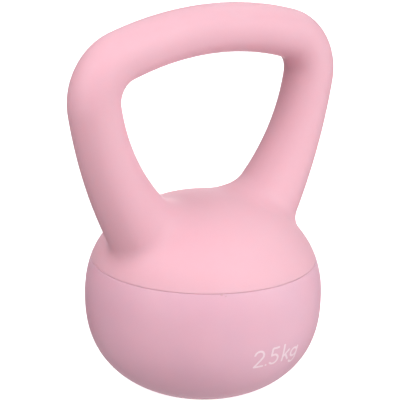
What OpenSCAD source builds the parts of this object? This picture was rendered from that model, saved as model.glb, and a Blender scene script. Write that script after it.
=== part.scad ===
// Soft kettlebell for light weights: a hollow loop handle moulded in one with its shoulder,
// glued into a soft cup that is filled with iron sand through a port in the foot.
// Millimetres, +Z up. The origin is the middle of the foot, and the handle's loop lies in the XZ plane.

/* [Overall] */
// Height from the foot to the top of the grip
overall_h = 218.8; // [190:0.1:265]
// Width over the handle's two corners
handle_w = 177.4; // [150:0.1:215]
// Diameter of the ball at its widest ring
ball_d = 134; // [111:0.5:162]

/* [Ball] */
// Height of the widest ring
equator_z = 53.6; // [45:0.1:62]
// Height of the shoulder's crown, under the hand
shoulder_z = 111.4; // [95:0.1:124]
// Height of the joint between shoulder and cup
seam_z = 76; // [63:0.1:86]
// Diameter of the flat foot
foot_d = 52; // [40:0.5:64]
// Fullness of the curve below the widest ring, where 2 is an ellipse
lower_full = 2.37; // [2:0.01:2.8]
// Fullness of the curve above the widest ring
upper_full = 2.23; // [2:0.01:2.8]

/* [Handle] */
// Thickness of the grip at its top, in the plane of the loop
grip_h = 27.1; // [22:0.1:34]
// Thickness of the grip at its top, across the loop
grip_w = 28.4; // [22:0.1:34]
// Diameter where a leg leaves its corner
neck_d = 28.6; // [23:0.1:35]
// Length of a leg's root in the plane of the loop
root_l = 41.7; // [34:0.1:52]
// Width of a leg's root across the loop
root_w = 40; // [34:0.1:50]
// How late a leg swells towards its root, as a power
leg_swell = 2; // [1.5:0.1:3]
// Radius of the top bar's centreline
crown_r = 200; // [150:1:400]
// Radius of the corners' centreline
corner_r = 24; // [18:0.5:30]
// Lean of a leg where it leaves its corner, in degrees
leg_lean = 10.1; // [0:0.1:18]
// How far a root's middle stands inside the ball's widest ring
root_inset = 25.9; // [20:0.1:30]
// How far a root's middle lies below the shoulder's crown
root_drop = 14.4; // [12:0.1:22]

/* [Walls and joints] */
// Wall of the handle and shoulder
shell_wall = 3; // [2:0.1:4]
// Wall of the cup at its rim
cup_wall = 4; // [3:0.1:6]
// Thickness of the cup's floor
floor_t = 6; // [5:0.1:9]
// How far the shoulder's spigot reaches down inside the cup
spigot_l = 12; // [8:0.5:16]
// Thickness of the adhesive film between spigot and cup
glue_t = 0.4; // [0.2:0.1:0.8]
// Bevel on both edges of the joint, which leaves a fine groove
groove = 0.3; // [0.2:0.1:1]
// Thickness of the bulkhead that closes the shoulder
bulkhead_t = 3; // [2:0.1:5]
// Gap round the bulkhead's edge
bulkhead_gap = 0.3; // [0.2:0.1:0.6]
// Leg of the adhesive bead under the bulkhead's edge
bead = 3; // [2:0.5:5]

/* [Fill port] */
// Bore of the port through the cup's floor
port_d = 18; // [14:0.5:22]
// Diameter of the plug's head
plug_head_d = 27; // [24:0.5:30]
// Thickness of the plug's head
plug_head_t = 2; // [1.5:0.1:3]
// How far the plug's head lies above the foot's plane
plug_recess = 0.8; // [0.4:0.1:1.2]
// How far the plug's barb stands out past the port's wall
barb = 1.2; // [0.8:0.1:2]
// Height of the barb inside the cup
barb_h = 3; // [2:0.1:5]
// Gap between the plug and the cup
plug_gap = 0.15; // [0.1:0.05:0.3]

/* [Hidden] */

ball_r = ball_d / 2;
slack = 0.1;        // between the sand and the walls that hold it
past = 1;           // how far a cut runs past the face it opens
turn_sides = 72;    // sides of the turned shapes inside the handle's shell
skin_sides = 28;    // sides of the handle's tube
bore_sides = 20;    // sides of the hollow in the handle's tube
curve_steps = 10;   // steps along each curve of the ball
bar_steps = 7;      // steps along half of the top bar
corner_steps = 7;   // steps round a corner
leg_steps = 10;     // steps down a leg
root_reach = 6;     // how far a leg runs on into the shoulder past its root

// ---- ball: a fuller ellipse below the widest ring and another above it ----
// height of a full lower curve whose cut at the floor leaves the foot's diameter
lower_h = equator_z / pow(1 - pow(foot_d / ball_d, lower_full), 1 / lower_full);
upper_h = shoulder_z - equator_z;

// radius at a height, with the curve set in by a wall
function curve_r(z, wall) = z < equator_z
    ? (ball_r - wall) * pow(1 - pow((equator_z - z) / (lower_h - wall), lower_full), 1 / lower_full)
    : (ball_r - wall) * pow(1 - pow((z - equator_z) / (upper_h - wall), upper_full), 1 / upper_full);

// how far round its curve a height lies, from 0 at the widest ring to 90 at the pole
function lower_turn(z) = asin(pow((equator_z - z) / lower_h, lower_full / 2));
function upper_turn(z, wall) = asin(pow((z - equator_z) / (upper_h - wall), upper_full / 2));

function lower_point(turn) =
    [ball_r * pow(cos(turn), 2 / lower_full), equator_z - lower_h * pow(sin(turn), 2 / lower_full)];
function upper_point(turn, wall) =
    [(ball_r - wall) * pow(cos(turn), 2 / upper_full),
     equator_z + (upper_h - wall) * pow(sin(turn), 2 / upper_full)];

function lower_line(from, to) =
    [for (i = [0:curve_steps]) lower_point(from + (to - from) * i / curve_steps)];
function upper_line(from, to, wall) =
    [for (i = [0:curve_steps]) upper_point(from + (to - from) * i / curve_steps, wall)];

// ---- joint between shoulder and cup ----
cup_bore_r = curve_r(seam_z, 0) - cup_wall;
spigot_r = cup_bore_r - glue_t;
spigot_bore_r = spigot_r - shell_wall;
spigot_z = seam_z - spigot_l;
rim_z = seam_z - glue_t;
band_z = spigot_z - bead;             // bottom of the cup's thick band behind the spigot
ramp_z = band_z - cup_wall;           // bottom of the ramp up to that band
// the bulkhead stops where the shoulder's wall begins to close in
seat_z = equator_z + (upper_h - shell_wall)
    * pow(1 - pow(spigot_bore_r / (ball_r - shell_wall), upper_full), 1 / upper_full);
bulkhead_z = seat_z - bulkhead_t;

// ---- fill port ----
head_recess_r = plug_head_d / 2 + plug_gap;
head_seat_z = plug_recess + plug_head_t;
barb_top_z = floor_t + barb_h;
barb_r = port_d / 2 + barb;

// ---- handle: top bar, corner and leg on one smooth centreline, for x >= 0 ----
bar_z = overall_h - grip_h / 2 - crown_r;                    // centre of the top bar's arc
corner_x = (handle_w - neck_d) / 2 - corner_r;               // centre of the corner's arc
bar_turn = asin(corner_x / (crown_r - corner_r));            // where the bar meets the corner
corner_z = bar_z + (crown_r - corner_r) * cos(bar_turn);
corner_end = 90 + leg_lean;
neck = [corner_x + corner_r * sin(corner_end), corner_z + corner_r * cos(corner_end)];
root = [ball_r - root_inset, shoulder_z - root_drop];
// a leg is a curve that leaves the corner along its lean and bends in to its root
bend = neck + [cos(corner_end), -sin(corner_end)] * norm(root - neck) / 2;
function leg_point(s) = neck * pow(1 - s, 2) + bend * 2 * s * (1 - s) + root * s * s;
function leg_way(s) = (bend - neck) * (1 - s) + (root - bend) * s;
root_way = (root - bend) / norm(root - bend);

// share of the way from the top of the grip to the neck, which sets the tube's thickness there
bar_length = crown_r * bar_turn;
corner_length = corner_r * (corner_end - bar_turn);
function grip_share(length) = pow(length / (bar_length + corner_length), 2);
function mix(a, b, share) = a + (b - a) * share;
function grip_size(share) = [mix(grip_h, neck_d, share), mix(grip_w, neck_d, share)];
function leg_size(s) = [mix(neck_d, root_l, pow(s, leg_swell)), mix(neck_d, root_w, pow(s, leg_swell))];

// stations down half the handle: [place, heading, [thickness in the loop, thickness across]]
stations = concat(
    [for (i = [0:bar_steps - 1]) let (a = bar_turn * i / bar_steps)
        [[crown_r * sin(a), bar_z + crown_r * cos(a)], [cos(a), -sin(a)], grip_size(grip_share(crown_r * a))]],
    [for (i = [0:corner_steps - 1]) let (a = bar_turn + (corner_end - bar_turn) * i / corner_steps)
        [[corner_x + corner_r * sin(a), corner_z + corner_r * cos(a)], [cos(a), -sin(a)],
         grip_size(grip_share(bar_length + corner_r * (a - bar_turn)))]],
    [for (i = [0:leg_steps]) let (s = i / leg_steps, way = leg_way(s))
        [leg_point(s), way / norm(way), leg_size(s)]],
    [[root + root_way * root_reach, root_way, leg_size(1)]]);

// an oval ring of points round the centreline at a station
function ring(station, wall, sides, side) = [for (k = [0:sides - 1])
    let (a = 360 * k / sides,
         u = (station[2][0] / 2 - wall) * cos(a),
         v = (station[2][1] / 2 - wall) * sin(a))
    [side * (station[0][0] - station[1][1] * u), v, station[0][1] + station[1][0] * u]];

// the handle's tube as a chain of hulls, each between two neighbouring rings
module handle_tube(wall, sides) {
    for (side = [-1, 1], i = [0:len(stations) - 2])
        hull() polyhedron(
            points = concat(ring(stations[i], wall, sides, side), ring(stations[i + 1], wall, sides, side)),
            faces = [[for (k = [0:2 * sides - 1]) k]]);
}

// shoulder's outer face, its bevel at the joint and the spigot that goes down into the cup
module shoulder() {
    seam_r = curve_r(seam_z, 0);
    rotate_extrude($fn = turn_sides) polygon(concat(
        [[0, spigot_z], [spigot_r - groove, spigot_z], [spigot_r, spigot_z + groove], [spigot_r, seam_z],
         [seam_r - groove, seam_z]],
        upper_line(upper_turn(seam_z + groove, 0), 90, 0)));
}

// straight bore up to the bulkhead's seat, and the shoulder's hollow above it
module shoulder_hollow() {
    rotate_extrude($fn = turn_sides) polygon(concat(
        [[0, spigot_z - past], [spigot_bore_r, spigot_z - past]],
        upper_line(upper_turn(seat_z, shell_wall), 90, shell_wall)));
}

// Handle and shoulder, blow-moulded in one piece with a hollow all the way round
module handle_shell() {
    color("pink") difference() {
        union() {
            shoulder();
            intersection() {
                handle_tube(0, skin_sides);
                translate([-handle_w, -handle_w, seam_z + groove]) cube([2 * handle_w, 2 * handle_w, overall_h]);
            }
        }
        shoulder_hollow();
        handle_tube(shell_wall, bore_sides);
    }
}

// inside of the cup from its floor to the bottom of the ramp, set in by a gap
function cup_inside(gap) = [for (i = [0:curve_steps])
    let (z = mix(floor_t, ramp_z, (1 - cos(90 * i / curve_steps))))
    [curve_r(z, cup_wall) - gap, i == 0 ? z + gap : z]];

// Soft cup: flat foot, wall that thickens behind the spigot, port and recess for the plug
module base_cup() {
    rim_r = curve_r(rim_z, 0);
    color("thistle") difference() {
        rotate_extrude($fn = turn_sides) polygon(concat(
            [[0, 0]],
            lower_line(lower_turn(0), 0),
            [for (p = upper_line(0, upper_turn(rim_z - groove, 0), 0)) if (p[1] > equator_z) p],
            [[rim_r - groove, rim_z], [cup_bore_r, rim_z], [cup_bore_r, band_z]],
            [for (i = [curve_steps:-1:0]) cup_inside(0)[i]],
            [[0, floor_t]]));
        translate([0, 0, -past]) cylinder(r = port_d / 2, h = floor_t + 2 * past, $fn = turn_sides);
        translate([0, 0, -past]) cylinder(r = head_recess_r, h = head_seat_z + past, $fn = turn_sides);
    }
}

// Cured adhesive: a film round the spigot and a thinner lip between the two edges of the joint
module seam_adhesive() {
    lip_r = curve_r(seam_z, 0) - 2 * groove;
    color("mistyrose") rotate_extrude($fn = turn_sides) polygon([
        [spigot_r, spigot_z + groove], [cup_bore_r, spigot_z + groove], [cup_bore_r, rim_z],
        [lip_r, rim_z], [lip_r, seam_z], [spigot_r, seam_z]]);
}

// Disc that keeps the sand out of the hollow handle, with a stiffening ring on its upper face
module bulkhead() {
    edge_r = spigot_bore_r - bulkhead_gap;
    ring_r = edge_r / 2;
    color("gainsboro") rotate_extrude($fn = turn_sides) polygon([
        [0, bulkhead_z], [edge_r, bulkhead_z], [edge_r, seat_z - bulkhead_gap],
        [ring_r + bulkhead_t, seat_z - bulkhead_gap], [ring_r + bulkhead_t / 2, seat_z + bulkhead_t],
        [ring_r, seat_z + bulkhead_t], [ring_r - bulkhead_t / 2, seat_z - bulkhead_gap],
        [0, seat_z - bulkhead_gap]]);
}

// Bead of hot glue in the corner under the bulkhead
module bulkhead_adhesive() {
    wall_r = spigot_bore_r - slack;
    color("ivory") rotate_extrude($fn = turn_sides) polygon([
        [wall_r, bulkhead_z], [wall_r, bulkhead_z - bead], [wall_r - bead, bulkhead_z]]);
}

// Ballast: fills the cup, the spigot's bore and the room under the bulkhead
module iron_sand() {
    pocket_r = barb_r + slack;
    bore_r = spigot_bore_r - slack;
    color("dimgray") rotate_extrude($fn = turn_sides) polygon(concat(
        [[0, barb_top_z + slack], [pocket_r, barb_top_z + slack], [pocket_r, floor_t + slack]],
        cup_inside(slack),
        [[cup_bore_r - slack, band_z], [cup_bore_r - slack, spigot_z - slack], [bore_r, spigot_z - slack],
         [bore_r, bulkhead_z - bead - slack], [bore_r - bead - slack, bulkhead_z - slack],
         [0, bulkhead_z - slack]]));
}

// Stopper for the fill port: a flat head in the recess, a stem and a barb inside the cup
module fill_plug() {
    stem_r = port_d / 2 - plug_gap;
    color("plum") rotate_extrude($fn = turn_sides) polygon([
        [0, plug_recess], [plug_head_d / 2 - groove, plug_recess], [plug_head_d / 2, plug_recess + groove],
        [plug_head_d / 2, head_seat_z], [stem_r, head_seat_z], [stem_r, floor_t],
        [barb_r, floor_t], [stem_r - barb, barb_top_z], [0, barb_top_z]]);
}

handle_shell();
base_cup();
seam_adhesive();
bulkhead();
bulkhead_adhesive();
iron_sand();
fill_plug();
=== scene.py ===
# Soft kettlebell: a blow-moulded handle and shoulder, glued into a soft vinyl cup of iron sand.
# The shape tables are in millimetres, and Blender's own units stay metres.
import math
import bmesh
import bpy
import numpy as np
from mathutils import Matrix, Vector, geometry


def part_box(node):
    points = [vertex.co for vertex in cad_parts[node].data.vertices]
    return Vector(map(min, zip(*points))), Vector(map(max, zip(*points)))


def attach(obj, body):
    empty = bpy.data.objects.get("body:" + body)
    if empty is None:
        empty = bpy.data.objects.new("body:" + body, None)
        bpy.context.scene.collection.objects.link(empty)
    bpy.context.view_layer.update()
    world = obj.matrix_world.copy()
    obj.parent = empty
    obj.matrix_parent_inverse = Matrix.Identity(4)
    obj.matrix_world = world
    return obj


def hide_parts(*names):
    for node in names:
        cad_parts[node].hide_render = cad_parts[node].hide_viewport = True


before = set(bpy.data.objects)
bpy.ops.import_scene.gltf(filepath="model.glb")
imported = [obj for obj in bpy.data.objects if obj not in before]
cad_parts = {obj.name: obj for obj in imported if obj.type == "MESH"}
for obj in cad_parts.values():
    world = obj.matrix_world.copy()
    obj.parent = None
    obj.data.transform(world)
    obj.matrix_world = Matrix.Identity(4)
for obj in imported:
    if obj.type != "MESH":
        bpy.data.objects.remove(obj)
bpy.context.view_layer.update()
print("frame loaded:", ", ".join(sorted(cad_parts)))

metre = 1000.0  # in millimetres
tiny = 1e-9     # keeps a division off zero


# what the CAD boxes say, in millimetres
def nodeBox(node):
    low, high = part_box(node)
    return np.array(low) * metre, np.array(high) * metre


shellLow, shellHigh = nodeBox("handle_shell")
cupLow, cupHigh = nodeBox("base_cup")
_, glueHigh = nodeBox("seam_adhesive")
plugLow, plugHigh = nodeBox("fill_plug")
handleTop = shellHigh[2]
handleHalf = (shellHigh[0] - shellLow[0]) / 2
ballRadius = max(cupHigh[:2] - cupLow[:2]) / 2
rimHeight = cupHigh[2]     # top edge of the cup
seamHeight = glueHigh[2]   # underside of the shoulder
spigotEnd = shellLow[2]    # lower edge of the spigot inside the cup

ball = {
    "widestHeight": 53.6,
    "shoulderHeight": 111.4,  # crown of the shoulder, under the hand
    "footRadius": 26.0,
    "fullBelow": 2.37,        # 2 is an ellipse, more is fuller
    "fullAbove": 2.23,
    "ridge": 0.09,            # how much faster the shoulder falls off across the loop
}
# how far down the lower curve would go if the foot didn't cut it
lowerReach = ball["widestHeight"] / (
    1 - (ball["footRadius"] / ballRadius) ** ball["fullBelow"]) ** (1 / ball["fullBelow"])
upperReach = ball["shoulderHeight"] - ball["widestHeight"]


# the ball's radius at a height, set in by a wall
def ballAt(height, inset=0.0):
    height = np.asarray(height, float)
    below = height < ball["widestHeight"]
    full = np.where(below, ball["fullBelow"], ball["fullAbove"])
    reach = np.where(below, lowerReach, upperReach) - inset
    part = np.clip(np.abs(height - ball["widestHeight"]) / reach, 0, 1)
    return (ballRadius - inset) * (1 - part ** full) ** (1 / full)


# mesh helpers: points are in millimetres, and the meshes they make are in metres

def makeObject(name, points, faces):
    mesh = bpy.data.meshes.new(name)
    mesh.from_pydata((np.asarray(points, float) / metre).tolist(), [], [list(map(int, f)) for f in faces])
    mesh.validate()
    obj = bpy.data.objects.new(name, mesh)
    bpy.context.scene.collection.objects.link(obj)
    return obj


def meshPoints(mesh):
    points = np.empty(len(mesh.vertices) * 3)
    mesh.vertices.foreach_get("co", points)
    return points.reshape(-1, 3) * metre


def setMeshPoints(mesh, points):
    mesh.vertices.foreach_set("co", (points / metre).ravel())
    mesh.update()


# smooth shading that stays crisp over edges sharper than the angle
def smoothShade(obj, sharpAngle=50):
    mesh = obj.data
    mesh.polygons.foreach_set("use_smooth", [True] * len(mesh.polygons))
    mesh.set_sharp_from_angle(angle=math.radians(sharpAngle))


def applyModifiers(obj):
    graph = bpy.context.evaluated_depsgraph_get()
    made = bpy.data.meshes.new_from_object(obj.evaluated_get(graph))
    obj.modifiers.clear()
    old, obj.data = obj.data, made
    bpy.data.meshes.remove(old)
    made.name = obj.name


# joins points that fall together and turns all faces outward
def outwardFaces(obj, together=0.002):
    work = bmesh.new()
    work.from_mesh(obj.data)
    bmesh.ops.remove_doubles(work, verts=work.verts, dist=together / metre)
    bmesh.ops.recalc_face_normals(work, faces=work.faces)
    work.to_mesh(obj.data)
    work.free()


# a line through (radius, height, fillet) corners, with an arc wherever a fillet isn't 0
def filletedLine(corners, steps=5, closed=False):
    line = []
    count = len(corners)
    for i, (radius, height, fillet) in enumerate(corners):
        here = np.array([radius, height], float)
        if fillet == 0 or (not closed and i in (0, count - 1)):
            line.append(here)
            continue
        before = np.array(corners[i - 1][:2], float) - here
        after = np.array(corners[(i + 1) % count][:2], float) - here
        lengthBefore, lengthAfter = np.linalg.norm(before), np.linalg.norm(after)
        before, after = before / lengthBefore, after / lengthAfter
        half = math.acos(np.clip(before @ after, -1, 1)) / 2
        # a fillet takes just under half of each side at most
        back = min(fillet / math.tan(half), 0.49 * lengthBefore, 0.49 * lengthAfter)
        for step in range(steps + 1):
            t = step / steps
            line.append(here + before * back * (1 - t) ** 2 + after * back * t ** 2)
    return np.array(line)


# turns a line of (radius, height) round Z
def lathe(name, line, segments, closed):
    turn = np.linspace(0, 2 * math.pi, segments, endpoint=False)
    points = np.stack([np.outer(line[:, 0], np.cos(turn)), np.outer(line[:, 0], np.sin(turn)),
                       np.repeat(line[:, 1:2], segments, 1)], -1).reshape(-1, 3)
    rings = len(line)
    faces = []
    for i in range(rings if closed else rings - 1):
        low, high = i * segments, (i + 1) % rings * segments
        for k in range(segments):
            nextK = (k + 1) % segments
            faces.append((low + k, low + nextK, high + nextK, high + k))
    obj = makeObject(name, points, faces)
    outwardFaces(obj)
    return obj


# handle: top bar, corner and leg on one centreline, mirrored about X = 0

handle = {
    "gripThick": 27.1,      # at the top, in the plane of the loop
    "gripWide": 28.4,       # at the top, across the loop
    "neck": 28.6,           # where a leg leaves its corner
    "rootLong": 41.7,       # a leg's root, in the plane of the loop
    "rootWide": 40.0,
    "legSwell": 2.0,        # power by which a leg grows towards its root
    "barRadius": 200.0,
    "cornerRadius": 24.0,
    "legLean": 10.1,        # degrees
    "rootInset": 25.9,      # root's middle, from the ball's widest
    "rootDrop": 14.4,       # and below the crown of the shoulder
    "rootReach": 6.0,       # how far a leg runs on inside the shoulder
    "blend": 6.5,           # width over which leg and shoulder melt together outside the loop
    "innerBlend": 13.0,     # and inside it
    "blendRamp": 16.0,      # from the one to the other
    "wall": 3.0,
    "boreTaper": 2.5,       # how fast the inside may open out above the spigot
    "meshStep": 1.4,
    "edgeRound": 0.18,      # lower edge at the joint
    "barSamples": 120,      # along half the centreline
    "cornerSamples": 100,
    "legSamples": 160,
    "settleBelow": 4.0,     # how far below the joint the skin is still settled
    "evenRounds": 4,        # rounds of settling and evening out
    "lastRounds": 3,        # rounds of settling alone
    "evenShare": 0.5,       # how far a point moves to its neighbours' middle each round
}


# places, directions and half sizes along the right half, in the plane of the loop
def handleLine():
    barZ = handleTop - handle["gripThick"] / 2 - handle["barRadius"]
    cornerX = handleHalf - handle["neck"] / 2 - handle["cornerRadius"]
    barTurn = math.asin(cornerX / (handle["barRadius"] - handle["cornerRadius"]))
    cornerZ = barZ + (handle["barRadius"] - handle["cornerRadius"]) * math.cos(barTurn)
    cornerEnd = math.pi / 2 + math.radians(handle["legLean"])
    places, ways, sizes = [], [], []
    barLength = handle["barRadius"] * barTurn
    topLength = barLength + handle["cornerRadius"] * (cornerEnd - barTurn)

    def gripSize(length):
        share = (length / topLength) ** 2
        return [handle["gripThick"] + (handle["neck"] - handle["gripThick"]) * share,
                handle["gripWide"] + (handle["neck"] - handle["gripWide"]) * share]

    for angle in np.linspace(0, barTurn, handle["barSamples"], endpoint=False):
        places.append([handle["barRadius"] * math.sin(angle), barZ + handle["barRadius"] * math.cos(angle)])
        ways.append([math.cos(angle), -math.sin(angle)])
        sizes.append(gripSize(handle["barRadius"] * angle))
    for angle in np.linspace(barTurn, cornerEnd, handle["cornerSamples"], endpoint=False):
        places.append([cornerX + handle["cornerRadius"] * math.sin(angle),
                       cornerZ + handle["cornerRadius"] * math.cos(angle)])
        ways.append([math.cos(angle), -math.sin(angle)])
        sizes.append(gripSize(barLength + handle["cornerRadius"] * (angle - barTurn)))
    neck = np.array([cornerX + handle["cornerRadius"] * math.sin(cornerEnd),
                     cornerZ + handle["cornerRadius"] * math.cos(cornerEnd)])
    root = np.array([ballRadius - handle["rootInset"], ball["shoulderHeight"] - handle["rootDrop"]])
    bend = neck + np.array([math.cos(cornerEnd), -math.sin(cornerEnd)]) * np.linalg.norm(root - neck) / 2
    for s in np.linspace(0, 1, handle["legSamples"]):
        way = (bend - neck) * (1 - s) + (root - bend) * s
        swell = s ** handle["legSwell"]
        places.append(neck * (1 - s) ** 2 + bend * 2 * s * (1 - s) + root * s * s)
        ways.append(way / np.linalg.norm(way))
        sizes.append([handle["neck"] + (handle["rootLong"] - handle["neck"]) * swell,
                      handle["neck"] + (handle["rootWide"] - handle["neck"]) * swell])
    rootWay = (root - bend) / np.linalg.norm(root - bend)
    places.append(root + rootWay * handle["rootReach"])
    ways.append(rootWay)
    sizes.append([handle["rootLong"], handle["rootWide"]])
    return np.array(places), np.array(ways), np.array(sizes) / 2


linePlaces, lineWays, lineHalves = handleLine()


# the centreline sample nearest each point, with both halves of the handle folded onto X > 0
def nearestSample(points, batch=4000):
    flat = np.stack([np.abs(points[:, 0]), points[:, 2]], -1)
    nearest = np.empty(len(points), int)
    for start in range(0, len(points), batch):
        part = flat[start:start + batch]
        gaps = ((part[:, None, :] - linePlaces[None, :, :]) ** 2).sum(-1)
        nearest[start:start + batch] = gaps.argmin(1)
    return nearest


# distance to the handle's tube, about right near its surface: negative is inside
def tubeField(points, nearest):
    away = np.stack([np.abs(points[:, 0]), points[:, 2]], -1) - linePlaces[nearest]
    way, halves = lineWays[nearest], lineHalves[nearest]
    out = away[:, 1] * way[:, 0] - away[:, 0] * way[:, 1]
    # a step along the line only counts past the line's end
    past = np.where(nearest == len(linePlaces) - 1, np.maximum((away * way).sum(1), 0), 0)
    scaled = np.stack([out / halves[:, 0], points[:, 1] / halves[:, 1], past / halves[:, 0]], -1)
    size = np.linalg.norm(scaled, axis=1) + tiny
    slope = np.linalg.norm(scaled / halves[:, [0, 1, 0]], axis=1) / size
    return (size - 1) / slope


# distance to the ball, in the same way
def ballField(points):
    # the shoulder rises to a low ridge from leg to leg, from nothing at the joint
    share = np.clip((points[:, 2] - seamHeight) / (ball["shoulderHeight"] - seamHeight), 0, 1)
    radius = np.hypot(points[:, 0], points[:, 1] * (1 + ball["ridge"] * share ** 2))
    rise = points[:, 2] - ball["widestHeight"]
    below = rise < 0
    full = np.where(below, ball["fullBelow"], ball["fullAbove"])
    reach = np.where(below, lowerReach, upperReach)
    across, up = radius / ballRadius, np.abs(rise) / reach
    total = across ** full + up ** full + tiny
    size = total ** (1 / full)
    slope = total ** (1 / full - 1) * np.hypot(across ** (full - 1) / ballRadius, up ** (full - 1) / reach)
    return (size - 1) / slope


# leg and shoulder melted together by a fillet
def bodyField(points, nearest):
    first, second = tubeField(points, nearest), ballField(points)
    inward = np.clip((linePlaces[nearest, 0] - np.abs(points[:, 0])) / handle["blendRamp"], 0, 1)
    blend = handle["blend"] + (handle["innerBlend"] - handle["blend"]) * inward
    near = np.clip(1 - np.abs(first - second) / blend, 0, 1)
    return np.minimum(first, second) - near ** 2 * blend / 4


# the field's slope, which points straight out of the surface
def bodySlope(points, nearest, step=0.05):
    slope = np.empty_like(points)
    for axis in range(3):
        shift = np.zeros(3)
        shift[axis] = step
        rise = bodyField(points + shift, nearest) - bodyField(points - shift, nearest)
        slope[:, axis] = rise / (2 * step)
    return slope


# moves points onto the surface where the field is 0
def settle(points, rounds):
    for _ in range(rounds):
        nearest = nearestSample(points)
        slope = bodySlope(points, nearest)
        away = bodyField(points, nearest) / (slope ** 2).sum(1).clip(0.2)  # no wild steps where it is flat
        points = points - away[:, None] * slope
    return points


# coarse tube and dome, which a voxel remesh turns into one skin
rough = {
    "sides": 32,            # of the tube
    "every": 6,             # a ring at each such centreline sample
    "skirt": 14.0,          # how far the dome reaches below the joint
    "skirtSteps": 6,
    "domeSteps": 24,
    "segments": 96,         # of the dome
}


def roughBody():
    turn = np.linspace(0, 2 * math.pi, rough["sides"], endpoint=False)
    picks = np.unique(np.r_[np.arange(0, len(linePlaces), rough["every"]), len(linePlaces) - 1])
    work = bmesh.new()
    rings = []
    for side in (-1, 1):
        for i in (picks[::-1] if side < 0 else picks[1:]):
            place, way, half = linePlaces[i], lineWays[i], lineHalves[i]
            ring = []
            for angle in turn:
                u, v = half[0] * math.cos(angle), half[1] * math.sin(angle)
                ring.append(work.verts.new(((place[0] - way[1] * u) * side / metre, v / metre,
                                            (place[1] + way[0] * u) / metre)))
            rings.append(ring)
    for low, high in zip(rings, rings[1:]):
        for k in range(len(turn)):
            work.faces.new((low[k], low[k - 1], high[k - 1], high[k]))
    work.faces.new(rings[0])
    work.faces.new(rings[-1][::-1])
    bmesh.ops.recalc_face_normals(work, faces=work.faces)
    mesh = bpy.data.meshes.new("roughBody")
    work.to_mesh(mesh)
    work.free()
    tube = bpy.data.objects.new("roughBody", mesh)
    seamTurn = math.asin((seamHeight - ball["widestHeight"]) / upperReach)
    domeTurns = np.linspace(seamTurn, math.pi / 2, rough["domeSteps"])
    heights = np.r_[np.linspace(seamHeight - rough["skirt"], seamHeight, rough["skirtSteps"])[:-1],
                    ball["widestHeight"] + upperReach * np.sin(domeTurns)]
    line = np.stack([ballAt(heights), heights], -1)
    line = np.vstack([[0, heights[0]], line])
    dome = lathe("roughDome", line, rough["segments"], False)
    work = bmesh.new()
    work.from_mesh(tube.data)
    work.from_mesh(dome.data)
    work.to_mesh(tube.data)
    work.free()
    bpy.data.objects.remove(dome)
    bpy.context.scene.collection.objects.link(tube)
    remesh = tube.modifiers.new("remesh", "REMESH")
    remesh.mode = "VOXEL"
    remesh.voxel_size = handle["meshStep"] / metre
    applyModifiers(tube)
    return tube


def makeHandle():
    body = roughBody()
    mesh = body.data
    points = meshPoints(mesh)
    edges = np.array([tuple(e.vertices) for e in mesh.edges])
    count = np.bincount(edges.ravel(), minlength=len(points))[:, None]
    # only what will stay above the joint is settled, with its points evened out on the way
    keep = points[:, 2] > seamHeight - handle["settleBelow"]
    for _ in range(handle["evenRounds"]):
        points[keep] = settle(points[keep], 1)
        total = np.zeros_like(points)
        np.add.at(total, edges[:, 0], points[edges[:, 1]])
        np.add.at(total, edges[:, 1], points[edges[:, 0]])
        move = total / count - points
        normal = bodySlope(points[keep], nearestSample(points[keep]))
        normal /= np.linalg.norm(normal, axis=1)[:, None] + tiny
        move = move[keep]
        move -= (move * normal).sum(1)[:, None] * normal
        points[keep] += handle["evenShare"] * move
    points[keep] = settle(points[keep], handle["lastRounds"])
    setMeshPoints(mesh, points)

    # cut level just above the joint
    edgeRound = handle["edgeRound"]
    cutHeight = seamHeight + edgeRound
    work = bmesh.new()
    work.from_mesh(mesh)
    bmesh.ops.bisect_plane(work, geom=work.verts[:] + work.edges[:] + work.faces[:], dist=0.001 / metre,
                           plane_co=(0, 0, cutHeight / metre), plane_no=(0, 0, 1), clear_inner=True)
    work.verts.index_update()
    skin = np.array([v.co[:] for v in work.verts]) * metre
    faces = [[v.index for v in f.verts] for f in work.faces]
    rimEdges = [[v.index for v in e.verts] for e in work.edges if e.is_boundary]
    work.free()
    bpy.data.objects.remove(body)
    rim = sorted({i for edge in rimEdges for i in edge})
    rimWays = skin[rim, :2] / np.linalg.norm(skin[rim, :2], axis=1)[:, None]

    # inner skin: set in by the wall, and straight down behind the spigot
    normals = bodySlope(skin, nearestSample(skin))
    normals /= np.linalg.norm(normals, axis=1)[:, None]
    inner = skin - handle["wall"] * normals
    bore = spigotRadius - handle["wall"]
    boreShare = bore / (ballRadius - handle["wall"])
    full = ball["fullAbove"]
    boreRise = (upperReach - handle["wall"]) * (1 - boreShare ** full) ** (1 / full)
    radius = np.hypot(inner[:, 0], inner[:, 1])
    limit = bore + handle["boreTaper"] * np.maximum(inner[:, 2] - ball["widestHeight"] - boreRise, 0)
    inner[:, :2] *= np.minimum(1, limit / radius.clip(1e-6))[:, None]

    # from the outer rim the wall runs in along the joint, down the spigot and back up inside it
    corners = [(float(ballAt(cutHeight)), cutHeight, 0), (float(ballAt(seamHeight)), seamHeight, edgeRound),
               (spigotRadius, seamHeight, 0.3), (spigotRadius, spigotEnd, 0.5),
               (bore, spigotEnd, 0.5), (bore, seamHeight - 3, 0)]
    count = len(skin)
    points = [skin, inner]
    faces += [[i + count for i in reversed(face)] for face in faces]
    rings = [dict(zip(rim, rim))]
    made = 2 * count
    for radius, height in filletedLine(corners, 4)[1:]:
        points.append(np.column_stack([rimWays * radius, np.full(len(rim), height)]))
        rings.append(dict(zip(rim, range(made, made + len(rim)))))
        made += len(rim)
    rings.append({i: i + count for i in rim})
    for low, high in zip(rings, rings[1:]):
        faces += [[low[a], low[b], high[b], high[a]] for a, b in rimEdges]
    skin[rim, :2] = rimWays * float(ballAt(cutHeight))
    body = makeObject("handle_and_shoulder", np.vstack(points), faces)
    outwardFaces(body)
    smoothShade(body)
    return body


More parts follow.
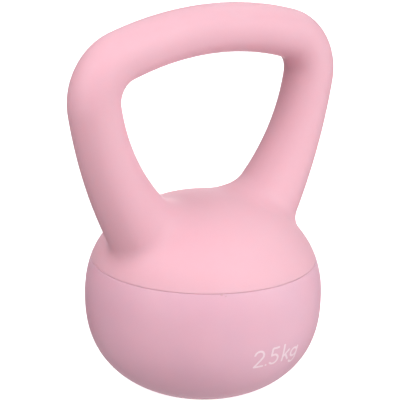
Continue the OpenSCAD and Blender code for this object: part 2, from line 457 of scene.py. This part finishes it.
# cup: one turned section, open at the rim and at the port in the foot

cup = {
    "wall": 4.0,          # at the rim
    "floor": 6.0,
    "glue": 0.4,          # film between spigot and cup
    "bandBelow": 3.0,     # how far the thick band reaches below the spigot
    "edgeRound": 0.18,
    "footRound": 5.0,
    "portRadius": 9.0,
    "recessRadius": 13.65,
    "recessDeep": 2.8,
    "unevenness": 0.10,   # how far the soft wall wanders from true
    "segments": 256,
    "lowerSteps": 60,     # up the outside, from foot to widest
    "upperSteps": 18,     # from widest to rim
    "innerSteps": 24,
}
cupBore = float(ballAt(seamHeight)) - cup["wall"]
spigotRadius = cupBore - cup["glue"]


# soft vinyl comes out of its mould a little out of true, more at half height than at foot and rim
def wander(points):
    turn = np.arctan2(points[:, 1], points[:, 0])
    height = points[:, 2]
    share = np.clip(height / 20, 0, 1) * np.clip((rimHeight - height) / 14, 0, 1)
    waves = (np.sin(2 * turn + 0.6) + 0.6 * np.sin(3 * turn + 2.1 + height / 26)
             + 0.35 * np.sin(7 * turn + height / 11) + 0.3 * np.sin(height / 6.5 + 1.2 * np.sin(2 * turn)))
    return cup["unevenness"] * share * waves


# moves points straight away from the axis
def pushOut(points, amount):
    radius = np.hypot(points[:, 0], points[:, 1]).clip(1e-6)
    scale = (radius + amount) / radius
    return np.stack([points[:, 0] * scale, points[:, 1] * scale, points[:, 2]], -1)


def makeCup():
    rimRadius = float(ballAt(rimHeight))
    outer = []
    footTurn = math.asin((ball["widestHeight"] / lowerReach) ** (ball["fullBelow"] / 2))
    for share in np.linspace(0, 1, cup["lowerSteps"])[1:]:
        turn = footTurn * (1 - share)
        outer.append((ballRadius * math.cos(turn) ** (2 / ball["fullBelow"]),
                      ball["widestHeight"] - lowerReach * math.sin(turn) ** (2 / ball["fullBelow"]), 0))
    for height in np.linspace(ball["widestHeight"], rimHeight, cup["upperSteps"])[1:-1]:
        outer.append((float(ballAt(height)), height, 0))
    spigotLow = spigotEnd - cup["bandBelow"]
    rampLow = spigotLow - cup["wall"]
    innerShares = 1 - np.cos(np.linspace(math.pi / 2, 0, cup["innerSteps"]))
    inner = [(float(ballAt(height, cup["wall"])), height, 0)
             for height in cup["floor"] + (rampLow - cup["floor"]) * innerShares]
    corners = ([(cup["recessRadius"], 0, 0.4), (ball["footRadius"], 0, cup["footRound"])] + outer
               + [(rimRadius, rimHeight, cup["edgeRound"]), (cupBore, rimHeight, 0.3),
                  (cupBore, spigotLow, 1)]
               + inner + [(cup["portRadius"], cup["floor"], 0.4),
                          (cup["portRadius"], cup["recessDeep"], 0.2),
                          (cup["recessRadius"], cup["recessDeep"], 0.4)])
    line = filletedLine(corners, 4, closed=True)
    obj = lathe("vinyl_cup", line, cup["segments"], True)
    points = meshPoints(obj.data)
    setMeshPoints(obj.data, pushOut(points, wander(points)))
    smoothShade(obj)
    return obj


# glue in the joint: fills the groove unevenly, with a few specks squeezed out

glue = {
    "sunk": 0.28,         # how far it lies below the ball's surface
    "uneven": 0.1,
    "gap": 0.02,          # left to the cup's rim and the shoulder
    "sideGap": 0.05,      # left to the spigot and the cup's bore
    "segments": 420,
    "specks": [           # degrees round from the front, mm below the joint, long, tall
        (-29.0, 0.55, 1.9, 1.1),
        (-27.2, 1.5, 0.9, 0.7),
        (64.0, 0.3, 1.5, 0.7),
        (151.0, 0.4, 1.8, 0.8),
        (-112.0, 0.2, 1.2, 0.6),
    ],
    "speckThick": 0.16,   # above the ball
    "speckSlant": 0.25,
    "speckLobes": 0.18,   # share by which a speck's outline swells in three lobes
    "speckNicks": 0.08,   # and in seven smaller ones
}


def makeGlue():
    seamRadius = float(ballAt(seamHeight))
    lip = seamRadius - glue["sunk"]
    low, high = rimHeight + glue["gap"], seamHeight - glue["gap"]
    inside, outside = spigotRadius + glue["sideGap"], cupBore - glue["sideGap"]
    corners = [(inside, spigotEnd + 1, 0), (outside, spigotEnd + 1, 0), (outside, low, 0),
               (lip, low, 0.12), (lip, high, 0.12), (inside, high, 0)]
    line = filletedLine(corners, 3, closed=True)
    obj = lathe("seam_glue", line, glue["segments"], True)
    points = meshPoints(obj.data)
    turn = np.arctan2(points[:, 1], points[:, 0])
    radius = np.hypot(points[:, 0], points[:, 1])
    waves = (np.sin(5 * turn + 1) + np.sin(13 * turn + 2) + np.sin(31 * turn)
             + 0.7 * np.sin(67 * turn + 0.4)) / 3
    share = np.clip((radius - cupBore) / (lip - cupBore), 0, 1)
    points = pushOut(points, glue["uneven"] * waves * share)
    setMeshPoints(obj.data, points)
    smoothShade(obj)
    return obj


# a flat drop of cured glue that lies on the ball over the joint
def makeSpeck(index, turnDegrees, drop, long, tall):
    work = bmesh.new()
    bmesh.ops.create_icosphere(work, subdivisions=4, radius=1)
    centreTurn = math.radians(turnDegrees)
    height = seamHeight - drop
    for v in work.verts:
        u, w, n = v.co.x, v.co.z, v.co.y
        way = math.atan2(w, u)
        ragged = 1 + glue["speckLobes"] * math.sin(3 * way + index) + glue["speckNicks"] * math.sin(7 * way)
        z = height + w * tall / 2 * ragged + glue["speckSlant"] * u * tall
        radius = float(ballAt(z)) + glue["speckThick"] * n
        turn = centreTurn + u * long / 2 * ragged / radius
        v.co = Vector((radius * math.sin(turn), -radius * math.cos(turn), z)) / metre
    bmesh.ops.recalc_face_normals(work, faces=work.faces)
    mesh = bpy.data.meshes.new(f"glue_speck_{index + 1}")
    work.to_mesh(mesh)
    work.free()
    obj = bpy.data.objects.new(mesh.name, mesh)
    bpy.context.scene.collection.objects.link(obj)
    smoothShade(obj)
    return obj


# plug in the foot

plug = {
    "headRadius": 13.5,
    "ringRadius": 9.5,      # raised ring on the head
    "ringHigh": 0.35,
    "dimpleRadius": 2.0,    # the moulding gate's dimple
    "dimpleDeep": 0.35,
    "stemRadius": 8.85,
    "barbRadius": 10.2,
    "edgeRound": 0.4,
    "segments": 128,
}


def makePlug():
    face = plugLow[2]
    seat = cup["recessDeep"]
    ring, high = plug["ringRadius"], plug["ringHigh"]
    head, stem = plug["headRadius"], plug["stemRadius"]
    dimple, deep = plug["dimpleRadius"], face + plug["dimpleDeep"]
    # from the gate's dimple out over the ring to the head's edge, then up the stem to its barb
    corners = [(0, deep, 0), (dimple * 0.6, deep, 0.4), (dimple, face, 0.3),
               (ring - 1.0, face, 0.3), (ring - 0.5, face - high, 0.2),
               (ring + 0.5, face - high, 0.2), (ring + 1.0, face, 0.3),
               (head, face, plug["edgeRound"]), (head, seat, 0.2), (stem, seat, 0.2),
               (stem, cup["floor"], 0.2), (plug["barbRadius"], cup["floor"] + 0.1, 0.3),
               (stem - 1.2, plugHigh[2], 0.5), (0, plugHigh[2], 0)]
    obj = lathe("port_plug", filletedLine(corners, 4), plug["segments"], False)
    smoothShade(obj)
    return obj


# weight mark: a film of ink on the cup, drawn with one round stroke

mark = {
    "height": 10.4,        # of a figure
    "baseline": 31.8,      # above the floor
    "stroke": 1.2,
    "centreTurn": 1.0,     # degrees round from the front
    "film": 0.05,
    "pointGap": 0.35,      # between points along a stroke
    "dotPoints": 20,       # round the pen's round tip
}


# points round an arc, angles in degrees, in figure heights
def arc(x, y, radius, start, end, count=18):
    return [(x + radius * math.cos(math.radians(a)), y + radius * math.sin(math.radians(a)))
            for a in np.linspace(start, end, count)]


# each figure is a width and its strokes, one figure height tall
figures = [
    (0.56, [arc(0.28, 0.71, 0.27, 165, -38) + [(0.03, 0.02), (0.56, 0.02)]]),               # 2
    (0.02, [[(0.01, 0.03), (0.02, 0.03)]]),                                                 # point
    (0.55, [[(0.50, 0.98), (0.12, 0.98), (0.08, 0.56)] + arc(0.25, 0.305, 0.285, 118, -140)]),  # 5
    (0.46, [[(0.02, 1.00), (0.02, 0.02)], [(0.42, 0.62), (0.04, 0.28)], [(0.18, 0.40), (0.46, 0.02)]]),  # k
    (0.48, [arc(0.25, 0.34, 0.25, 0, 360, 30),
            [(0.50, 0.62), (0.50, -0.06)] + arc(0.26, -0.06, 0.24, 0, -150, 12)]),          # g
]
figureGaps = [0.20, 0.20, 0.34, 0.17, 0]


# even points along a stroke
def evenPoints(stroke, gap):
    stroke = np.array(stroke)
    run = np.r_[0, np.cumsum(np.linalg.norm(np.diff(stroke, axis=0), axis=1))]
    at = np.linspace(0, run[-1], max(2, int(run[-1] / gap) + 1))
    return np.stack([np.interp(at, run, stroke[:, 0]), np.interp(at, run, stroke[:, 1])], -1)


# outlines of the stroke: one quad for each short length, and a round dot at each point
def strokeShapes(stroke, half):
    tip = np.linspace(0, 2 * math.pi, mark["dotPoints"], endpoint=False)
    shapes = []
    for here, there in zip(stroke, stroke[1:]):
        way = there - here
        side = np.array([-way[1], way[0]]) / max(np.linalg.norm(way), tiny) * half
        shapes.append([here + side, here - side, there - side, there + side])
    for here in stroke[::2].tolist() + [stroke[-1].tolist()]:
        shapes.append([np.array(here) + half * np.array([math.cos(a), math.sin(a)]) for a in tip])
    return shapes


def makeMark():
    total = sum(width for width, _ in figures) + sum(figureGaps)
    shapes, centres = [], []
    x = -total / 2
    for (width, strokes), gap in zip(figures, figureGaps):
        for stroke in strokes:
            placed = (np.array(stroke) + [x, 0]) * mark["height"]
            centres.append(evenPoints(placed, mark["pointGap"]))
            shapes += strokeShapes(centres[-1], mark["stroke"] / 2)
        x += width + gap
    points, loops = [], []
    for shape in shapes:
        loops.append(list(range(len(points), len(points) + len(shape))))
        points += [Vector(p) for p in shape]
    flat, _, faces, _, _, _ = geometry.delaunay_2d_cdt(points, [], loops, 1, 1e-5)
    flat = np.array([tuple(p) for p in flat])
    # the bowl of a closed figure comes back filled, so triangles far from every stroke are dropped
    drawn = np.vstack(centres)
    middles = flat[np.array(faces)].mean(1)
    near = np.array([((drawn - m) ** 2).sum(1).min() for m in middles]) < (mark["stroke"] * 0.6) ** 2
    faces = [face for face, kept in zip(faces, near) if kept]

    # arc length up the cup's outside gives each point its height, from below the g's tail up
    heights = np.linspace(mark["baseline"] - 12, seamHeight, 400)
    radii = ballAt(heights)
    run = np.r_[0, np.cumsum(np.hypot(np.diff(heights), np.diff(radii)))]
    start = np.interp(mark["baseline"], heights, run)
    z = np.interp(flat[:, 1] + start, run, heights)
    middle = float(ballAt(mark["baseline"] + mark["height"] / 2))
    turn = math.radians(mark["centreTurn"]) + flat[:, 0] / middle
    radius = ballAt(z)
    base = np.stack([radius * np.sin(turn), -radius * np.cos(turn), z], -1)
    base = pushOut(base, wander(base) + mark["film"] * 0.8)
    obj = makeObject("weight_mark", base, faces)
    outwardFaces(obj)
    thick = obj.modifiers.new("film", "SOLIDIFY")
    thick.thickness = mark["film"] * 2 / metre
    thick.offset = -1
    applyModifiers(obj)
    smoothShade(obj)
    return obj


print("shaping the handle and shoulder")
handlePiece = makeHandle()
print("turning the cup, the glue line and the plug")
cupPiece = makeCup()
gluePiece = makeGlue()
specks = [makeSpeck(i, *speck) for i, speck in enumerate(glue["specks"])]
plugPiece = makePlug()
print("printing the weight")
markPiece = makeMark()


# materials

def hexToLinear(code):
    parts = [int(code[i:i + 2], 16) / 255 for i in (1, 3, 5)]
    return tuple(c / 12.92 if c <= 0.04045 else ((c + 0.055) / 1.055) ** 2.4 for c in parts) + (1.0,)


# adds a node: settings go to its sockets or its own fields, links come from other nodes' outputs
def addNode(tree, kind, settings=None, links=None):
    node = tree.nodes.new(kind)
    for name, value in (settings or {}).items():
        if isinstance(name, int) or name in node.inputs:
            node.inputs[name].default_value = value
        else:
            setattr(node, name, value)
    for name, source in (links or {}).items():
        tree.links.new(source, node.inputs[name])
    return node


# a new material's tree and shader, and the object's own coordinates to lay patterns in
def newMaterial(name):
    material = bpy.data.materials.new(name)
    material.use_nodes = True
    tree = material.node_tree
    shader = tree.nodes["Principled BSDF"]
    place = addNode(tree, "ShaderNodeTexCoord").outputs["Object"]
    return material, tree, shader, place


# a noise whose features are about this many millimetres across
def noiseScale(size):
    return metre / size


handlePlastic = {
    "colour": "#F3C1CD", "deeper": "#EFB8C6",
    "cloud": 38.0,          # faint clouding of the pigment
    "cloudDetail": 3.0,
    "grain": 1.0,           # blasted mould's grain is finer, and is drawn this coarse so that it shows
    "grainHigh": 0.014,
    "ripple": 9.0,          # slow ripple of a blown wall
    "rippleHigh": 0.02,
    "smoothest": 0.50, "roughest": 0.60,
    "glow": 0.25,           # share of the light that goes in and comes out again
    "glowTint": (1.0, 0.45, 0.4),
}

cupVinyl = {
    "colour": "#F3C0CF", "deeper": "#E8BACD",
    "cloud": 22.0,
    "cloudDetail": 2.0,
    "grain": 1.4,           # finer on the real wall, drawn this coarse so that it shows
    "grainHigh": 0.012,
    "smoothest": 0.44, "roughest": 0.54,
    "glow": 0.3,
    "glowTint": (1.0, 0.5, 0.55),
}
glowDepth = 3.0             # how far light goes into either plastic
plasticIor = 1.53


# what both pink plastics share: clouded pigment, a fine grain and a little light from inside
def mouldedPlastic(name, look):
    material, tree, shader, place = newMaterial(name)
    cloud = addNode(tree, "ShaderNodeTexNoise",
                    {"Scale": noiseScale(look["cloud"]), "Detail": look["cloudDetail"]}, {"Vector": place})
    tint = addNode(tree, "ShaderNodeMix", {"data_type": "RGBA", 6: hexToLinear(look["colour"]),
                                           7: hexToLinear(look["deeper"])}, {0: cloud.outputs[0]})
    tree.links.new(tint.outputs[2], shader.inputs["Base Color"])
    grain = addNode(tree, "ShaderNodeTexNoise", {"Scale": noiseScale(look["grain"]), "Detail": 2.0},
                    {"Vector": place})
    fine = addNode(tree, "ShaderNodeBump", {"Strength": 1.0, "Distance": look["grainHigh"] / metre},
                   {"Height": grain.outputs[0]})
    tree.links.new(fine.outputs[0], shader.inputs["Normal"])
    rough = addNode(tree, "ShaderNodeMapRange", {"To Min": look["smoothest"], "To Max": look["roughest"]})
    tree.links.new(rough.outputs[0], shader.inputs["Roughness"])
    shader.inputs["IOR"].default_value = plasticIor
    shader.inputs["Subsurface Weight"].default_value = look["glow"]
    shader.inputs["Subsurface Radius"].default_value = look["glowTint"]
    shader.inputs["Subsurface Scale"].default_value = glowDepth / metre
    return material, tree, place, cloud, grain, rough, fine


# pigmented polyethylene blown against a blasted mould: even, milky pink with a matt skin
def makeHandlePlastic():
    material, tree, place, _, grain, rough, fine = mouldedPlastic("blow-moulded polyethylene", handlePlastic)
    tree.links.new(grain.outputs[0], rough.inputs["Value"])
    look = handlePlastic
    ripple = addNode(tree, "ShaderNodeTexNoise", {"Scale": noiseScale(look["ripple"]), "Detail": 1.0},
                     {"Vector": place})
    slow = addNode(tree, "ShaderNodeBump", {"Strength": 1.0, "Distance": look["rippleHigh"] / metre},
                   {"Height": ripple.outputs[0]})
    tree.links.new(slow.outputs[0], fine.inputs["Normal"])
    return material


# plasticised vinyl from a polished mould: a cooler pink than the handle, soft and satin
def makeCupVinyl():
    material, tree, _, cloud, _, rough, _ = mouldedPlastic("soft moulded vinyl", cupVinyl)
    tree.links.new(cloud.outputs[0], rough.inputs["Value"])
    return material


# two close colours in a noise of the given size in mm, with a bump as high as given
def plainMaterial(name, colour, deeper, size, roughness, ior, high):
    material, tree, shader, place = newMaterial(name)
    noise = addNode(tree, "ShaderNodeTexNoise", {"Scale": noiseScale(size), "Detail": 3.0},
                    {"Vector": place})
    tint = addNode(tree, "ShaderNodeMix", {"data_type": "RGBA", 6: hexToLinear(colour),
                                           7: hexToLinear(deeper)}, {0: noise.outputs[0]})
    tree.links.new(tint.outputs[2], shader.inputs["Base Color"])
    bump = addNode(tree, "ShaderNodeBump", {"Strength": 1.0, "Distance": high / metre},
                   {"Height": noise.outputs[0]})
    tree.links.new(bump.outputs[0], shader.inputs["Normal"])
    shader.inputs["Roughness"].default_value = roughness
    shader.inputs["IOR"].default_value = ior
    return material


def dress(obj, material):
    obj.data.materials.clear()
    obj.data.materials.append(material)


print("making the materials")
dress(handlePiece, makeHandlePlastic())
dress(cupPiece, makeCupVinyl())
# cast vinyl from a plain mould: a shade deeper than the cup, with a dull skin
dress(plugPiece, plainMaterial("vinyl stopper", "#DDA6B8", "#D39CB0", 6.0, 0.5, plasticIor, 0.02))
# squeezed out and left to cure: lumpy, glossier than the plastics and faintly pink
curedGlue = plainMaterial("cured polyurethane glue", "#DDA9B5", "#EBC0CA", 2.5, 0.35, 1.5, 0.05)
for piece in [gluePiece] + specks:
    dress(piece, curedGlue)
# a thin pad-printed film: nearly white, with the cup's pink just showing through
dress(markPiece, plainMaterial("pad-printed vinyl ink", "#FFE9F0", "#FBDDE7", 0.8, 0.45, 1.5, 0.004))
# stamped from unpigmented sheet: waxy, a warm white
dress(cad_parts["bulkhead"],
      plainMaterial("natural polyethylene", "#E6E3DA", "#DDD9CE", 12.0, 0.45, plasticIor, 0.02))
# laid as a hot bead that set as it ran: honey-coloured, wavy and shiny
dress(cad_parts["bulkhead_adhesive"],
      plainMaterial("hot-melt glue", "#EFE2BE", "#E4D3A6", 3.0, 0.35, 1.48, 0.1))
# loose crushed ore: dark grains with paler faces among them, dull and rough
dress(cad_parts["iron_sand"], plainMaterial("iron sand", "#1E1C1C", "#55504D", 0.6, 0.6, 1.5, 0.25))


# who moves with what, and what stands for what

slots = [(handlePiece, "handle_plastic"), (cupPiece, "cup_vinyl"), (gluePiece, "adhesive"),
         (plugPiece, "plug_vinyl"), (markPiece, "mark_ink")] + [(speck, "adhesive") for speck in specks]
for piece, slotName in slots:
    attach(piece, "root")
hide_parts("handle_shell")
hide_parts("base_cup")
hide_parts("seam_adhesive")
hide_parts("fill_plug")


# floor, light and camera

stage = {
    "floorSize": 40.0,      # metres
    "floorColour": "#FAFAFA",
    "floorDeeper": "#F6F6F6",
    "floorGlow": 0.8,       # how brightly the paper shines by itself
    "skyTop": "#FFFFFF",
    "skyStrength": 0.01,
    "skyLow": "#C9B4BA",
}


def makeFloor():
    half = stage["floorSize"] / 2 * metre
    floor = makeObject("floor", [(-half, -half, 0), (half, -half, 0), (half, half, 0), (-half, half, 0)],
                       [(0, 1, 2, 3)])
    # rolled paper: even, white and without a sheen
    dress(floor, plainMaterial("matt white paper", stage["floorColour"], stage["floorDeeper"],
                               40.0, 0.9, 1.45, 0))
    shader = floor.data.materials[0].node_tree.nodes["Principled BSDF"]
    shader.inputs["Emission Color"].default_value = hexToLinear(stage["floorColour"])
    shader.inputs["Emission Strength"].default_value = stage["floorGlow"]
    # the floor only shows: the bounce lamps and footGlow below it stand for the light that it throws back
    floor.visible_diffuse = False
    floor.visible_glossy = False
    floor.visible_shadow = False


# a faint sky behind the lamps, pinker below the horizon
def makeSky():
    world = bpy.data.worlds.new("studio")
    bpy.context.scene.world = world
    world.use_nodes = True
    tree = world.node_tree
    place = addNode(tree, "ShaderNodeTexCoord").outputs["Generated"]
    apart = addNode(tree, "ShaderNodeSeparateXYZ", None, {"Vector": place})
    rise = addNode(tree, "ShaderNodeMapRange", {"From Min": -0.6, "From Max": 0.5},
                   {"Value": apart.outputs["Z"]})
    tint = addNode(tree, "ShaderNodeMix", {"data_type": "RGBA", 6: hexToLinear(stage["skyLow"]),
                                           7: hexToLinear(stage["skyTop"])}, {0: rise.outputs[0]})
    tree.links.new(tint.outputs[2], tree.nodes["Background"].inputs["Color"])
    tree.nodes["Background"].inputs["Strength"].default_value = stage["skyStrength"]


cameraView = {
    "azimuth": -38.1,     # degrees
    "elevation": 17.1,
    "distance": 931.0,    # from the aim
    "lens": 150.1,
    "roll": 0.95,         # degrees
    "aimRight": -2.5,     # off the middle, to the camera's right
    "aimHeight": 108.3,
}
sensorWidth = 36          # millimetres


# right, up and back of a view from these angles
def viewAxes(azimuth, elevation):
    a, e = math.radians(azimuth), math.radians(elevation)
    back = Vector((math.sin(a) * math.cos(e), -math.cos(a) * math.cos(e), math.sin(e)))
    right = Vector((math.cos(a), math.sin(a), 0))
    return right, back.cross(right), back


def makeCamera():
    right, up, back = viewAxes(cameraView["azimuth"], cameraView["elevation"])
    roll = math.radians(cameraView["roll"])
    right, up = right * math.cos(roll) + up * math.sin(roll), up * math.cos(roll) - right * math.sin(roll)
    level = viewAxes(cameraView["azimuth"], 0)[0]
    aim = (level * cameraView["aimRight"] + Vector((0, 0, cameraView["aimHeight"]))) / metre
    data = bpy.data.cameras.new("camera")
    data.lens = cameraView["lens"]
    data.sensor_width = sensorWidth
    camera = bpy.data.objects.new("camera", data)
    bpy.context.scene.collection.objects.link(camera)
    place = aim + back * cameraView["distance"] / metre
    turn = Matrix((right, up, back)).transposed()
    camera.matrix_world = Matrix.Translation(place) @ turn.to_4x4()
    bpy.context.scene.camera = camera


white = "#FFFFFF"
blush = "#FFF6F8"  # fill light that has picked up a little of the object's pink on its way

# soft boxes: degrees round from the camera's own side, degrees up, watts, colour
lights = {
    "key": (60, 40, 8.5, white),
    "keyLow": (80, 8, 5.3, white),
    "front": (20, 40, 4.3, white),
    "frontLow": (40, 8, 1.3, blush),
    "top": (-60, 68, 2.0, white),
    "left": (-60, 40, 9.6, blush),
    "leftLow": (-40, 8, 5.0, blush),
    "backLeft": (-150, 40, 2.8, white),
    "backRight": (150, 40, 4.0, white),
    "back": (180, -10, 8.0, white),
    "bounceFront": (30, -35, 4.1, blush),
    "bounceRight": (90, -35, 3.6, blush),
    "bounceLeft": (-30, -35, 0.9, blush),
    "bounceBack": (180, -35, 2.4, blush),
}
boxDistance = 1.4  # metres
boxSize = 1.1      # across each round box, in metres

# the paper's own glow close round the foot, in metres and watts
footGlow = {"side": -50, "out": 0.08, "below": 0.055, "size": 0.35, "watts": 0.085}


def addLamp(name, place, back, size, watts, colour):
    data = bpy.data.lights.new(name, "AREA")
    data.shape = "DISK"
    data.size = size
    data.energy = watts
    data.color = hexToLinear(colour)[:3]
    lamp = bpy.data.objects.new(name, data)
    bpy.context.scene.collection.objects.link(lamp)
    lamp.location = place
    lamp.rotation_mode = "QUATERNION"
    lamp.rotation_quaternion = back.to_track_quat("Z", "Y")
    lamp.visible_camera = False


def makeLights():
    middle = Vector((0, 0, handleTop / 2 / metre))
    for name, (side, rise, watts, colour) in lights.items():
        back = viewAxes(cameraView["azimuth"] + side, rise)[2]
        addLamp(name, middle + back * boxDistance, back, boxSize, watts, colour)
    place = viewAxes(cameraView["azimuth"] + footGlow["side"], 0)[2] * footGlow["out"]
    place.z = -footGlow["below"]
    addLamp("footGlow", place, Vector((0, 0, -1)), footGlow["size"], footGlow["watts"], blush)


print("setting the stage")
makeFloor()
makeSky()
makeCamera()
makeLights()
bpy.context.scene.view_settings.view_transform = "Standard"

print("finished")
